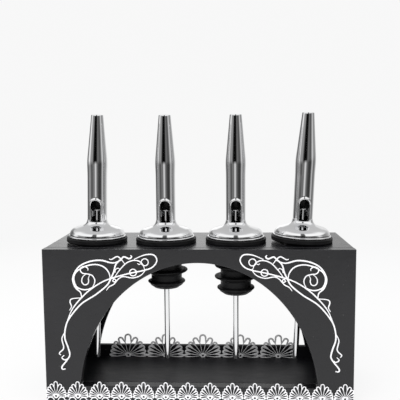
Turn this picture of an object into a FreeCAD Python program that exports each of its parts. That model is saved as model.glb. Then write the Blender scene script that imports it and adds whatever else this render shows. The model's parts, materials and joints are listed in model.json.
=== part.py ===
import FreeCAD, Part
import math
import os
import re
import Sketcher
from FreeCAD import Placement, Rotation, Vector

# Display stand for bottle pourers: a black board box with an arch through its front and back,
# trimmed with silver lace and scrollwork, and four chrome free-flow pourers standing in its deck.
# Millimetres, +Z up.  The origin is on the ground at the middle of the outline, and the
# decorated face looks towards -Y.

os.makedirs("parts", exist_ok=True)
doc = FreeCAD.newDocument("bottle_pourer_stand")

# ---------------------------------------------------------------- driving dimensions
SIZES = {
    # box
    "stand_width": 165.0,
    "stand_depth": 58.0,
    "stand_height": 85.0,
    "board_thickness": 6.35,
    "front_face": -28.5,          # Y of the decorated face
    "floor_height": 10.2,         # top of the base board and of the front rail
    "back_thickness": 3.0,        # the back panel is a thinner board
    "back_inset": 10.35,          # back panel to the rear edge of the deck
    "back_sill": 17.3,            # top of the back rail
    # arch, half of an upright ellipse
    "arch_half_width": 64.1,
    "arch_half_height": 75.8,
    "arch_centre": 2.0,           # height of the ellipse's centre
    # holes in the deck
    "hole_radius": 14.0,
    "hole_pitch": 38.8,
    "pourer_back": 25.4,          # pourer axis behind the decorated face
    # trim
    "trim_thickness": 1.0,
    "right_scroll_shift": 1.2,    # right ornament, outwards from the left one's mirror image
    "front_fan_pitch": 11.92,
    "front_row_shift": 0.4,       # middle of the row of fans from the middle of the face
    "front_hub_height": 4.8,
    "front_hub_radius": 1.3,
    "front_hub_hole": 0.55,
    "front_band": 0.45,
    "front_opening": 2.3,         # where a petal's opening starts, from the hub's centre
    "front_ring_height": 2.25,
    "front_ring_radius": 2.2,
    "front_ring_hole": 1.6,
    "front_link": 1.0,
    "back_fan_pitch": 22.9,
    "back_row_shift": 0.8,
    "back_hub_height": 1.0,
    "back_hub_radius": 2.0,
    "back_hub_hole": 0.7,
    "back_band": 0.8,
    "back_opening": 3.4,
    "back_link": 1.15,
    # pourer, heights from the underside of its collar ring
    "ring_radius": 17.0,
    "ring_thickness": 2.5,
    "ring_rounding": 0.5,
    "collar_radius": 16.0,
    "collar_lip": 1.2,
    "dome_radius": 15.35,
    "dome_foot": 4.1,
    "dome_rounding": 4.2,
    "dome_shoulder": 12.6,        # radius where the rounded edge turns into the shallow cone
    "shoulder_height": 7.55,
    "neck_foot": 8.2,             # radius where the cone turns up into the neck
    "neck_start": 8.85,
    "neck_rounding": 3.7,
    "neck_radius": 5.6,
    "neck_top": 12.4,
    "spout_radius": 5.45,
    "spout_wall": 0.8,
    "spout_bend": 41.0,           # end of the straight tube
    "spout_bulge": 5.65,          # widest radius, where the taper starts
    "bulge_height": 45.5,
    "spout_top": 71.0,
    "tip_radius": 3.35,
    "tip_wall": 0.6,
    "window_width": 5.4,
    "window_foot": 11.6,
    "window_top": 23.5,
    "window_chamfer": 0.55,
    "stem_wall": 0.6,
    "stem_top": 8.0,
    "stem_bottom": -25.5,
    "holder_height": 6.0,
    "holder_wall": 0.8,
    "holder_arm": 1.0,
    "tube_radius": 1.65,
    "tube_wall": 0.5,
    "tube_top": 17.8,
    "tube_bottom": -68.1,
    "turning_clearance": 0.05,    # cork and collar ring round the stem, radial
    # cork, heights from its own top
    "cork_neck": 8.65,
    "cork_foot": 7.7,
    "cork_bottom": -25.9,
    "fin_radius": 12.0,
    "last_fin_radius": 10.6,
    "fin_start": -3.4,            # height of the first fin's edge
    "fin_pitch": 6.4,
    "fin_edge": 0.6,              # half of the fin's thickness at its edge
    "fin_flare": 2.6,             # drop of the underside from edge to neck
}

sheet = doc.addObject("Spreadsheet::Sheet", "Sizes")
for row, (alias, number) in enumerate(SIZES.items(), start=1):
    sheet.set(f"A{row}", alias)
    sheet.set(f"B{row}", str(number))
    sheet.setAlias(f"B{row}", alias)
doc.recompute()

# Where each pourer stands: X on the deck, lean towards +X in degrees, and how far its cork has
# slipped down the stem.
POURERS = [
    {"across": -58.2, "lean": 1.4, "slip": 0.0},
    {"across": -18.8, "lean": 0.0, "slip": 0.0},
    {"across": 20.6, "lean": 0.0, "slip": 3.6},
    {"across": 57.45, "lean": 2.4, "slip": 0.0},
]
FINS = 4


def bound(expression):
    """The expression with every size name pointing at the sheet."""
    return re.sub(r"\b([a-z]+_[a-z_]+)\b", r"Sizes.\1", str(expression))


def size(expression):
    """The expression's present value."""
    return float(sheet.evalExpression(bound(expression)))


# ---------------------------------------------------------------- sketches and bodies
def new_body(name):
    body = doc.addObject("PartDesign::Body", name)
    body.Label = name
    return body


def new_sketch(body, role, name, height="0"):
    """A sketch on one of the body's own origin planes, lifted along its normal by height."""
    sketch = body.newObject("Sketcher::SketchObject", f"{body.Name}_{name}")
    plane = next(item for item in body.Origin.OriginFeatures if item.Role == role)
    sketch.AttachmentSupport = [(plane, "")]
    sketch.MapMode = "FlatFace"
    if height != "0":
        sketch.setExpression("AttachmentOffset.Base.z", bound(height))
    return sketch


def arc_between(start, end, radius, turn):
    """Arc from start to end that turns left (turn 1) or right (turn -1)."""
    chord = end - start
    left = Vector(-chord.y, chord.x, 0).normalize() * turn
    centre = (start + end) / 2 + left * math.sqrt(radius**2 - (chord.Length / 2) ** 2)
    return Part.Arc(start, centre - left * radius, end)


def draw_outline(sketch, corners):
    """Closed outline through the corners, each (across, up) as expressions.

    A corner with two more values, a radius and a turn, is reached by an arc instead of a line.
    """
    points = [Vector(size(corner[0]), size(corner[1]), 0) for corner in corners]
    ends = []
    for index, corner in enumerate(corners):
        start, end = points[index - 1], points[index]
        if len(corner) == 4:
            edge = sketch.addGeometry(arc_between(start, end, size(corner[2]), corner[3]), False)
            number = sketch.addConstraint(Sketcher.Constraint("Radius", edge, size(corner[2])))
            sketch.setExpression(f"Constraints[{number}]", bound(corner[2]))
        else:
            edge = sketch.addGeometry(Part.LineSegment(start, end), False)
        forward = sketch.getPoint(edge, 1).distanceToPoint(start) < 1e-6
        ends.append((edge, 1, 2) if forward else (edge, 2, 1))
    for index, corner in enumerate(corners):
        edge, _, end = ends[index]
        following, start, _ = ends[(index + 1) % len(corners)]
        sketch.addConstraint(Sketcher.Constraint("Coincident", edge, end, following, start))
        for direction, expression in (("DistanceX", corner[0]), ("DistanceY", corner[1])):
            constraint = Sketcher.Constraint(direction, -1, 1, edge, end, size(expression))
            number = sketch.addConstraint(constraint)
            sketch.setExpression(f"Constraints[{number}]", bound(expression))


def draw_circle(sketch, across, up, radius):
    circle = Part.Circle(Vector(size(across), size(up), 0), Vector(0, 0, 1), size(radius))
    edge = sketch.addGeometry(circle, False)
    limits = (
        ("DistanceX", -1, 1, edge, 3, across),
        ("DistanceY", -1, 1, edge, 3, up),
        ("Radius", edge, radius),
    )
    for *where, expression in limits:
        number = sketch.addConstraint(Sketcher.Constraint(*where, size(expression)))
        sketch.setExpression(f"Constraints[{number}]", bound(expression))


def rectangle(left, bottom, right, top):
    return [(left, bottom), (right, bottom), (right, top), (left, top)]


def pad(body, sketch, length, reverse=False):
    feature = body.newObject("PartDesign::Pad", f"{sketch.Name}_pad")
    feature.Profile = sketch
    feature.setExpression("Length", bound(length))
    feature.Reversed = reverse
    return feature


def pocket(body, sketch, length, reverse=False):
    """Pocket that has to remove material."""
    doc.recompute()
    before = body.Shape.Volume
    feature = body.newObject("PartDesign::Pocket", f"{sketch.Name}_pocket")
    feature.Profile = sketch
    feature.setExpression("Length", bound(length))
    feature.Reversed = reverse
    doc.recompute()
    if body.Shape.Volume >= before - 1e-3:
        raise RuntimeError(f"{feature.Name} cuts nothing")
    return feature


def lathe(name, corners):
    """Body turned about Z from an outline of (radius, height) corners."""
    body = new_body(name)
    sketch = new_sketch(body, "XZ_Plane", "profile")
    draw_outline(sketch, corners)
    turned = body.newObject("PartDesign::Revolution", f"{name}_turned")
    turned.Profile = sketch
    turned.ReferenceAxis = (sketch, ["V_Axis"])
    turned.Angle = 360.0
    return body


# ---------------------------------------------------------------- the box
BEHIND_FRONT = "front_face + board_thickness"
REAR_EDGE = "front_face + stand_depth"
BACK_INSIDE = "front_face + stand_depth - back_inset - back_thickness"
INSIDE_HALF = "stand_width / 2 - board_thickness"
UNDER_DECK = "stand_height - board_thickness"


def board(name, left, front, right, back, foot, height):
    """Rectangular board standing on the given foot height."""
    body = new_body(name)
    sketch = new_sketch(body, "XY_Plane", "outline")
    draw_outline(sketch, rectangle(left, front, right, back))
    pad(body, sketch, height)
    body.setExpression("Placement.Base.z", bound(foot))
    return body


def box(name, width, depth, height, left, front, foot):
    solid = doc.addObject("Part::Box", name)
    solid.setExpression("Length", bound(width))
    solid.setExpression("Width", bound(depth))
    solid.setExpression("Height", bound(height))
    place = f"placement(vector({left}; {front}; {foot}); rotation(vector(0; 0; 1); 0))"
    solid.setExpression("Placement", bound(place))
    return solid


def arched_panel(name, half_width, front, thickness, top, sill):
    """Upright board with the upper part of an ellipse cut through it, down to a level sill."""
    panel = box(f"{name}_blank", f"2 * ({half_width})", thickness, top,
                f"-({half_width})", front, "0")
    ellipse = doc.addObject("Part::Ellipse", f"{name}_ellipse")
    ellipse.setExpression("MajorRadius", bound("arch_half_height"))
    ellipse.setExpression("MinorRadius", bound("arch_half_width"))
    # the ellipse's long axis is turned upright, and its plane to face +Y
    upright = Rotation(Vector(0, 0, 1), Vector(1, 0, 0), Vector(0, 1, 0))
    ellipse.Placement = Placement(Vector(0, 0, 0), upright)
    ellipse.setExpression("Placement.Base.y", bound(f"{front} - 1"))
    ellipse.setExpression("Placement.Base.z", bound("arch_centre"))
    prism = doc.addObject("Part::Extrusion", f"{name}_prism")
    prism.Base = ellipse
    prism.DirMode = "Custom"
    prism.Dir = Vector(0, 1, 0)
    prism.setExpression("LengthFwd", bound(f"{thickness} + 2"))
    prism.Solid = True
    above = box(f"{name}_above_sill", "stand_width", f"{thickness} + 4", "stand_height",
                "-stand_width / 2", f"{front} - 2", sill)
    opening = doc.addObject("Part::Common", f"{name}_opening")
    opening.Base = prism
    opening.Tool = above
    cut = doc.addObject("Part::Cut", name)
    cut.Base = panel
    cut.Tool = opening
    cut.Label = name
    return cut


def make_deck():
    body = board("deck", "-stand_width / 2", BEHIND_FRONT, "stand_width / 2", REAR_EDGE,
                 UNDER_DECK, "board_thickness")
    hole = new_sketch(body, "XY_Plane", "hole")
    draw_circle(hole, "-1.5 * hole_pitch", "front_face + pourer_back", "hole_radius")
    first = pocket(body, hole, "board_thickness", reverse=True)
    row = body.newObject("PartDesign::LinearPattern", "deck_hole_row")
    row.Originals = [first]
    row.Direction = (hole, ["H_Axis"])
    row.setExpression("Length", bound("3 * hole_pitch"))
    row.Occurrences = 4
    body.Tip = row
    return body


def make_box():
    return [
        arched_panel("front_panel", "stand_width / 2", "front_face", "board_thickness",
                     "stand_height", "floor_height"),
        arched_panel("back_panel", INSIDE_HALF, BACK_INSIDE, "back_thickness",
                     UNDER_DECK, "back_sill"),
        board("left_side", "-stand_width / 2", BEHIND_FRONT, f"-({INSIDE_HALF})", REAR_EDGE,
              "0", UNDER_DECK),
        board("right_side", INSIDE_HALF, BEHIND_FRONT, "stand_width / 2", REAR_EDGE,
              "0", UNDER_DECK),
        board("base_board", f"-({INSIDE_HALF})", BEHIND_FRONT, INSIDE_HALF, BACK_INSIDE,
              "0", "floor_height"),
        make_deck(),
    ]


# ---------------------------------------------------------------- pourers
def window_corners(margin):
    """Upright opening with a half-round top, grown all round by margin."""
    half = f"(window_width / 2 + {margin})"
    spring = "window_top - window_width / 2"
    foot = f"window_foot - {margin}"
    return [
        (f"-{half}", foot),
        (half, foot),
        (half, spring),
        ("0", f"window_top + {margin}", half, 1),
        (f"-{half}", spring, half, 1),
    ]


def cut_window(body, margin):
    """Cuts the window through the body's front wall."""
    sketch = new_sketch(body, "XZ_Plane", "window")
    draw_outline(sketch, window_corners(margin))
    return pocket(body, sketch, "collar_radius", reverse=True)


def make_spout(name):
    body = lathe(name, [
        ("spout_radius - spout_wall", "ring_thickness"),
        ("spout_radius", "ring_thickness"),
        ("spout_radius", "spout_bend"),
        ("spout_bulge", "bulge_height"),
        ("tip_radius", "spout_top"),
        ("tip_radius - tip_wall", "spout_top"),
        ("spout_bulge - spout_wall", "bulge_height"),
        ("spout_radius - spout_wall", "spout_bend"),
    ])
    window = cut_window(body, "0")
    rim = []
    for number, edge in enumerate(window.Shape.Edges, start=1):
        middle = edge.valueAt((edge.FirstParameter + edge.LastParameter) / 2)
        on_outside = abs(math.hypot(middle.x, middle.y) - size("spout_radius")) < 0.01
        at_window = middle.y < 0 and abs(middle.x) < size("window_width / 2") + 0.01
        in_height = size("window_foot") - 0.01 < middle.z < size("window_top") + 0.01
        if on_outside and at_window and in_height:
            rim.append(f"Edge{number}")
    chamfer = body.newObject("PartDesign::Chamfer", f"{name}_window_rim")
    chamfer.Base = (window, rim)
    chamfer.setExpression("Size", bound("window_chamfer"))
    body.Tip = chamfer
    return body


def make_collar(name):
    body = lathe(name, [
        ("spout_radius", "ring_thickness"),
        ("collar_radius - collar_lip / 2", "ring_thickness"),
        ("collar_radius", "ring_thickness + collar_lip / 2", "collar_lip / 2", 1),
        ("collar_radius - collar_lip / 2", "ring_thickness + collar_lip", "collar_lip / 2", 1),
        ("dome_radius", "ring_thickness + collar_lip"),
        ("dome_radius", "dome_foot"),
        ("dome_shoulder", "shoulder_height", "dome_rounding", 1),
        ("neck_foot", "neck_start"),
        ("neck_radius", "neck_top", "neck_rounding", -1),
        ("spout_radius", "neck_top"),
    ])
    cut_window(body, "window_chamfer")
    return body


def make_collar_ring(name):
    return lathe(name, [
        ("spout_radius - spout_wall + turning_clearance", "0"),
        ("ring_radius - ring_rounding", "0"),
        ("ring_radius", "ring_rounding", "ring_rounding", 1),
        ("ring_radius", "ring_thickness - ring_rounding"),
        ("ring_radius - ring_rounding", "ring_thickness", "ring_rounding", 1),
        ("spout_radius - spout_wall + turning_clearance", "ring_thickness"),
    ])


def fin_corners(number):
    """One flared fin, from the neck above it, round its edge and back to the neck below."""
    edge = f"(fin_start - {number} * fin_pitch)"
    last = number == FINS - 1
    radius = "last_fin_radius" if last else "fin_radius"
    below = ("cork_foot", "cork_bottom + 0.4") if last else ("cork_neck", f"{edge} - fin_flare")
    return [
        below,
        (f"{radius} - fin_edge / 2", f"{edge} - fin_edge"),
        (f"{radius} - fin_edge / 2", f"{edge} + fin_edge", "fin_edge * 1.05", 1),
        ("cork_neck", f"{edge} + fin_edge * 1.4"),
    ]


def make_cork(name):
    bore = "spout_radius - spout_wall + turning_clearance"
    corners = [(bore, "0"), (bore, "cork_bottom"), ("cork_foot - 0.4", "cork_bottom")]
    for number in reversed(range(FINS)):
        corners += fin_corners(number)
    corners.append(("cork_neck", "0"))
    return lathe(name, corners)


def make_stem(name):
    """Sleeve through the cork, with a three-armed holder for the breather tube at its foot."""
    outside = "(spout_radius - spout_wall)"
    inside = f"({outside} - stem_wall)"
    holder = "(tube_radius + holder_wall)"
    body = lathe(name, [
        (inside, "stem_bottom"),
        (outside, "stem_bottom"),
        (outside, "stem_top"),
        (inside, "stem_top"),
    ])
    arm = new_sketch(body, "XY_Plane", "arm", "stem_bottom")
    draw_outline(arm, rectangle("tube_radius + holder_wall / 2", "-holder_arm / 2",
                                f"{inside} + stem_wall / 2", "holder_arm / 2"))
    first = pad(body, arm, "holder_height")
    arms = body.newObject("PartDesign::PolarPattern", f"{name}_arms")
    arms.Originals = [first]
    arms.Axis = (arm, ["N_Axis"])
    arms.Angle = 360.0
    arms.Occurrences = 3
    body.Tip = arms
    doc.recompute()
    collet = new_sketch(body, "XY_Plane", "holder", "stem_bottom")
    draw_circle(collet, "0", "0", holder)
    draw_circle(collet, "0", "0", "tube_radius")
    pad(body, collet, "holder_height")
    return body


def make_breather_tube(name):
    return lathe(name, [
        ("tube_radius - tube_wall", "tube_bottom"),
        ("tube_radius", "tube_bottom"),
        ("tube_radius", "tube_top"),
        ("tube_radius - tube_wall", "tube_top"),
    ])


def stand_in_deck(body, pourer, slip=0.0):
    """Sets the piece on the deck; a leaning one is raised so that its ring rests on one edge."""
    lean = pourer["lean"]
    raised = size("ring_radius") * math.sin(math.radians(lean))
    tilt = Rotation(Vector(0, 1, 0), lean)
    foot = Vector(pourer["across"], size("front_face + pourer_back"), size("stand_height") + raised)
    body.Placement = Placement(foot - tilt.multVec(Vector(0, 0, slip)), tilt)
    return body


def make_pourer(number, pourer):
    return [
        stand_in_deck(make_spout(f"spout_{number}"), pourer),
        stand_in_deck(make_collar(f"collar_{number}"), pourer),
        stand_in_deck(make_collar_ring(f"collar_ring_{number}"), pourer),
        stand_in_deck(make_cork(f"cork_{number}"), pourer, pourer["slip"]),
        stand_in_deck(make_stem(f"stem_{number}"), pourer),
        stand_in_deck(make_breather_tube(f"breather_tube_{number}"), pourer),
    ]


# ---------------------------------------------------------------- lace
# A fan is a row of looped petals round a hub: (angle from upright, length, tip radius).
FRONT_PETALS = [(0, 8.3, 1.2), (22, 7.3, 1.1), (41, 6.6, 0.95), (58, 6.2, 0.85), (74, 6.0, 0.8),
                (90, 5.9, 0.75)]
BACK_PETALS = [(0, 13.5, 2.3), (25, 12.5, 1.9), (46, 12.0, 1.7), (62, 11.7, 1.5), (76, 11.4, 1.35),
               (90, 11.2, 1.2)]
FRONT_FANS = 14
BACK_FANS = 5
ROOT_RADIUS = 0.2


def disc(x, z, radius):
    return Part.makeCylinder(radius, size("trim_thickness"), Vector(x, 0, z), Vector(0, 1, 0))


def drop(root, tip, tip_radius):
    """Plate shaped like a drop: a tiny round at root and a large one at tip, with tangent sides."""
    along = (tip - root).normalize()
    across = Vector(along.z, 0, -along.x)
    slope = math.asin((tip_radius - ROOT_RADIUS) / (tip - root).Length)
    sides = [across * (side * math.cos(slope)) - along * math.sin(slope) for side in (1, -1)]
    corners = [root + sides[0] * ROOT_RADIUS, tip + sides[0] * tip_radius,
               tip + sides[1] * tip_radius, root + sides[1] * ROOT_RADIUS]
    outline = [
        Part.LineSegment(corners[0], corners[1]),
        Part.Arc(corners[1], tip + along * tip_radius, corners[2]),
        Part.LineSegment(corners[2], corners[3]),
        Part.Arc(corners[3], root - along * ROOT_RADIUS, corners[0]),
    ]
    face = Part.Face(Part.Wire([edge.toShape() for edge in outline]))
    return face.extrude(Vector(0, size("trim_thickness"), 0))


def fan(petals, row):
    """Fan of looped petals with its hub's centre at the origin, upright in the XZ plane.

    The row, front or back, names the sheet's sizes for its hub, band and openings.
    """
    band, opening = size(f"{row}_band"), size(f"{row}_opening")
    outer, inner = [], [disc(0, 0, size(f"{row}_hub_hole"))]
    for angle, length, tip_radius in petals:
        for side in ((1, -1) if angle else (1,)):
            tilt = math.radians(angle * side)
            direction = Vector(math.sin(tilt), 0, math.cos(tilt))
            tip = direction * (length - tip_radius)
            outer.append(drop(Vector(0, 0, 0), tip, tip_radius))
            inner.append(drop(direction * opening, tip, tip_radius - band))
    plate = disc(0, 0, size(f"{row}_hub_radius")).multiFuse(outer)
    return plate.cut(Part.makeCompound(inner)).removeSplitter()


def slab(low, high):
    """Block through the trim's whole thickness, between two heights and across the stand."""
    width = size("stand_width")
    depth = 3 * size("trim_thickness")
    return Part.makeBox(width, depth, high - low, Vector(-width / 2, -depth / 3, low))


def feature(name, shape, place):
    """Sub-part whose shape is worked out above from the sheet's sizes."""
    item = doc.addObject("Part::Feature", name)
    item.Label = name
    item.Shape = shape
    item.Placement = Placement(place, Rotation())
    return item


def make_front_lace():
    """Strip of small fans across the whole face, each over two rings, joined by small links."""
    pitch = size("front_fan_pitch")
    hub_height, ring_height = size("front_hub_height"), size("front_ring_height")
    shapes = []
    motif = fan(FRONT_PETALS, "front")
    for number in range(FRONT_FANS):
        x = (number - (FRONT_FANS - 1) / 2) * pitch + size("front_row_shift")
        shapes.append(motif.translated(Vector(x, 0, hub_height)))
        for side in (-1, 1):
            ring_x = x + side * pitch / 4
            ring = disc(ring_x, ring_height, size("front_ring_radius"))
            shapes.append(ring.cut(disc(ring_x, ring_height, size("front_ring_hole"))))
        if number:
            shapes.append(disc(x - pitch / 2, hub_height, size("front_link")))
            shapes.append(disc(x - pitch / 2, ring_height, size("front_link")))
    strip = shapes[0].multiFuse(shapes[1:]).removeSplitter()
    strip = strip.common(slab(0, size("stand_height")))
    return feature("front_lace", strip, Vector(0, size("front_face - trim_thickness"), 0))


def make_back_lace():
    """Row of larger fans that stand on the floor against the back panel."""
    pitch = size("back_fan_pitch")
    hub_height = size("back_hub_height")
    motif = fan(BACK_PETALS, "back").cut(slab(-size("stand_height"), -hub_height))
    shapes = []
    for number in range(BACK_FANS):
        x = (number - (BACK_FANS - 1) / 2) * pitch
        shapes.append(motif.translated(Vector(x, 0, hub_height)))
        if number:
            shapes.append(disc(x - pitch / 2, size("back_link"), size("back_link")))
    strip = shapes[0].multiFuse(shapes[1:]).removeSplitter()
    place = Vector(size("back_row_shift"), size(f"{BACK_INSIDE} - trim_thickness"),
                   size("floor_height"))
    return feature("back_lace", strip, place)


# ---------------------------------------------------------------- scrollwork
# Each stroke of the left ornament: its width, and the points that its middle line passes,
# measured right and up from the face's lower left corner.
STROKES = {
    "lower_stem": (0.9, [(11.2, 20.0), (9.6, 19.8), (9.2, 21.2), (11.8, 24.6), (13.6, 27.8),
                         (12.8, 32.0), (11.2, 37.4), (12.0, 43.8), (14.4, 48.6), (20.6, 55.8),
                         (28.6, 61.0), (34.6, 66.0), (36.8, 69.8), (38.3, 73.0), (39.6, 77.2),
                         (42.6, 80.2), (44.0, 81.3), (46.6, 80.3), (48.0, 81.2), (47.4, 82.2)]),
    "leg_twig": (0.75, [(11.0, 40.0), (9.6, 36.6), (10.4, 31.6), (8.0, 28.8), (8.8, 27.6)]),
    "leg_hook": (0.75, [(12.8, 26.0), (10.8, 25.0), (9.3, 26.2), (10.6, 27.6)]),
    "upper_stem": (0.8, [(12.4, 45.6), (16.0, 53.4), (21.8, 60.2), (27.0, 64.6), (33.0, 68.2),
                         (39.8, 70.6), (47.4, 72.6), (55.0, 74.2), (59.2, 76.0), (61.3, 79.4),
                         (59.6, 82.3), (55.0, 82.3), (49.2, 80.0)]),
    "bump": (0.75, [(21.4, 59.2), (15.8, 58.6), (14.6, 57.0), (15.3, 54.4), (14.2, 52.2)]),
    "outer_ring": (0.9, [(20.9, 59.4), (20.3, 62.2), (17.6, 65.0), (16.5, 70.0), (19.6, 75.6),
                         (25.2, 78.6), (31.6, 79.4), (37.8, 78.0), (42.4, 79.4)]),
    "inner_ring": (0.8, [(36.4, 69.4), (35.9, 72.4), (34.0, 75.2), (31.0, 76.8), (27.2, 77.1),
                         (22.4, 75.8), (18.3, 73.0), (17.0, 69.4), (18.2, 65.4), (21.0, 63.8),
                         (24.2, 63.7), (28.0, 65.4)]),
    "ring_curl": (0.7, [(24.6, 73.9), (24.6, 75.1), (22.9, 76.1), (21.0, 75.4), (20.7, 73.7),
                        (21.9, 72.4), (24.2, 72.1), (26.8, 71.3), (28.1, 69.2), (28.0, 67.2),
                        (27.0, 65.2)]),
    "drop_curl": (0.65, [(23.4, 71.9), (21.9, 70.6), (21.2, 68.7), (21.6, 67.0), (22.9, 66.2),
                         (24.3, 66.7), (24.9, 68.2), (24.8, 69.8), (25.5, 71.4)]),
    "leaf_top": (0.7, [(37.4, 68.2), (41.2, 73.8), (45.6, 78.2), (50.2, 79.4), (53.4, 77.8),
                       (54.9, 74.4)]),
    "leaf_foot": (0.7, [(55.7, 74.9), (52.8, 71.5), (48.4, 70.0), (43.6, 70.7), (41.0, 69.6),
                        (38.3, 66.6), (35.8, 65.2), (34.2, 63.2)]),
    "nib": (0.65, [(53.4, 78.2), (52.0, 77.2), (51.0, 77.8)]),
    "flame": (0.75, [(36.0, 80.2), (37.4, 79.9), (40.4, 81.4), (42.6, 79.8), (44.2, 77.6)]),
    "bud": (0.6, [(39.0, 72.8), (39.5, 74.6), (40.9, 75.2), (41.8, 74.2)]),
}
# Closed rings on the ornament: (line width, across, up, radius of the line's middle).
RINGS = {
    "round_loop": (0.65, 54.9, 78.4, 1.85),
    "small_loop": (0.65, 48.6, 72.9, 1.8),
    "knot": (0.6, 38.6, 68.6, 0.75),
}
STEPS_PER_SPAN = 6


def ribbon(width, points):
    """Flat line of one width along a smooth curve through the points, with round ends."""
    middle = Part.BSplineCurve()
    middle.interpolate([Vector(x, 0, z) for x, z in points])
    first, last = middle.FirstParameter, middle.LastParameter
    steps = STEPS_PER_SPAN * (len(points) - 1)
    left, right = [], []
    for step in range(steps + 1):
        at = first + (last - first) * step / steps
        along = middle.tangent(at)[0]
        offset = Vector(-along.z, 0, along.x) * (width / 2)
        left.append(middle.value(at) + offset)
        right.append(middle.value(at) - offset)
    sides = []
    for side in (left, right[::-1]):
        curve = Part.BSplineCurve()
        curve.interpolate(side)
        sides.append(curve)
    nose = middle.value(last) + middle.tangent(last)[0] * (width / 2)
    tail = middle.value(first) - middle.tangent(first)[0] * (width / 2)
    outline = [sides[0], Part.Arc(left[-1], nose, right[-1]),
               sides[1], Part.Arc(right[0], tail, left[0])]
    face = Part.Face(Part.Wire([edge.toShape() for edge in outline]))
    return face.extrude(Vector(0, size("trim_thickness"), 0))


def make_scrolls():
    """The left ornament, and its mirror image for the right."""
    lines = [ribbon(width, points) for width, points in STROKES.values()]
    for width, across, up, radius in RINGS.values():
        ring = disc(across, up, radius + width / 2)
        lines.append(ring.cut(disc(across, up, radius - width / 2)))
    ornament = lines[0]
    for line in lines[1:]:
        joined = ornament.fuse(line)
        if joined.Volume < ornament.Volume:
            raise RuntimeError("a stroke of the scrollwork is lost")
        ornament = joined
    mirrored = ornament.mirror(Vector(0, 0, 0), Vector(1, 0, 0))
    corner = Vector(size("stand_width / 2"), 0, 0)
    front = Vector(0, size("front_face - trim_thickness"), 0)
    shift = Vector(size("right_scroll_shift"), 0, 0)
    return [
        feature("left_scroll", ornament, front - corner),
        feature("right_scroll", mirrored, front + corner + shift),
    ]


# ---------------------------------------------------------------- the whole part
pieces = make_box()
for number, pourer in enumerate(POURERS, start=1):
    pieces += make_pourer(number, pourer)
pieces += [make_front_lace(), make_back_lace()]
pieces += make_scrolls()

doc.recompute()
for item in doc.Objects:
    if "Invalid" in item.State or "Error" in item.State:
        raise RuntimeError(f"{item.Label} failed: {item.State}")
for piece in pieces:
    if piece.Shape.isNull() or not piece.Shape.isValid():
        raise RuntimeError(f"{piece.Label} has a bad shape")
    if len(piece.Shape.Solids) != 1:
        raise RuntimeError(f"{piece.Label} is not one solid")
for piece in pieces:
    piece.Shape.exportStep(f"parts/{piece.Label}.step")
    print(piece.Label, len(piece.Shape.Solids), round(piece.Shape.Volume, 1))
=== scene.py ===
import json
import math

import bmesh
import bpy
from mathutils import Matrix, Vector, noise

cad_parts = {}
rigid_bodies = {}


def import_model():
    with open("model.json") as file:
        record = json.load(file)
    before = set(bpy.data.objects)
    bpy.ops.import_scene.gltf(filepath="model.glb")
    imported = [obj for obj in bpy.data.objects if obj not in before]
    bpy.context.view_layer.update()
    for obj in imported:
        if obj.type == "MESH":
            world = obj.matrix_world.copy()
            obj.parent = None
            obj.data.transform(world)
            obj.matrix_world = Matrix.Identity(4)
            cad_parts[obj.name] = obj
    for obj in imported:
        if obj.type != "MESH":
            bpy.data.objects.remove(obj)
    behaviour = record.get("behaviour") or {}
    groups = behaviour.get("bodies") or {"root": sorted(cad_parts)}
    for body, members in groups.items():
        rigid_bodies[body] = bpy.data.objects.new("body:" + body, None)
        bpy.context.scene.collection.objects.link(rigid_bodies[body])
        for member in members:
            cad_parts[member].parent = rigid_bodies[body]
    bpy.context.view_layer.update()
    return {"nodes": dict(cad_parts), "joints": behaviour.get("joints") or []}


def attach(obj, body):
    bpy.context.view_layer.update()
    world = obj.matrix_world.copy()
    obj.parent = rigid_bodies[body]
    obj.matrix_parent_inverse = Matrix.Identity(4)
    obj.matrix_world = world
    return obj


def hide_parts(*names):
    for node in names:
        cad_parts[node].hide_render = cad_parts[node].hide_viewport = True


# Looks of the bottle pourer stand.  Shapes are worked out in millimetres and brought to metres
# when a piece is placed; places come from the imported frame.

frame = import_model()
scene = bpy.context.scene
MM = 0.001


def span(node, place=Matrix()):
    """Lowest and highest corner of a CAD node in millimetres, as seen from a placed piece."""
    back = place.inverted()
    points = [back @ vertex.co for vertex in frame["nodes"][node].data.vertices]
    low = Vector(min(point[axis] for point in points) for axis in range(3))
    high = Vector(max(point[axis] for point in points) for axis in range(3))
    return low / MM, high / MM


# ---------------------------------------------------------------- camera
CAMERA_PLACE = Vector((14.8, -329.7, 141.7))
CAMERA_YAW = math.radians(-2.5)
CAMERA_PITCH = math.radians(5.79)
CAMERA_ROLL = math.radians(-0.42)
CAMERA_LENS = 52.62


def add_camera():
    """A little lower than the pourers' tips, looking slightly down on the front of the stand."""
    data = bpy.data.cameras.new("camera")
    data.lens = CAMERA_LENS
    data.clip_start = 0.01
    forward = Vector((math.sin(CAMERA_YAW) * math.cos(CAMERA_PITCH),
                      math.cos(CAMERA_YAW) * math.cos(CAMERA_PITCH),
                      -math.sin(CAMERA_PITCH)))
    level = Vector((math.cos(CAMERA_YAW), -math.sin(CAMERA_YAW), 0))
    above = level.cross(forward)
    right = level * math.cos(CAMERA_ROLL) + above * math.sin(CAMERA_ROLL)
    up = right.cross(forward)
    turned = Matrix((right, up, -forward)).transposed().to_4x4()
    camera = bpy.data.objects.new("camera", data)
    camera.matrix_world = Matrix.Translation(CAMERA_PLACE * MM) @ turned
    scene.collection.objects.link(camera)
    scene.camera = camera


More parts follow.
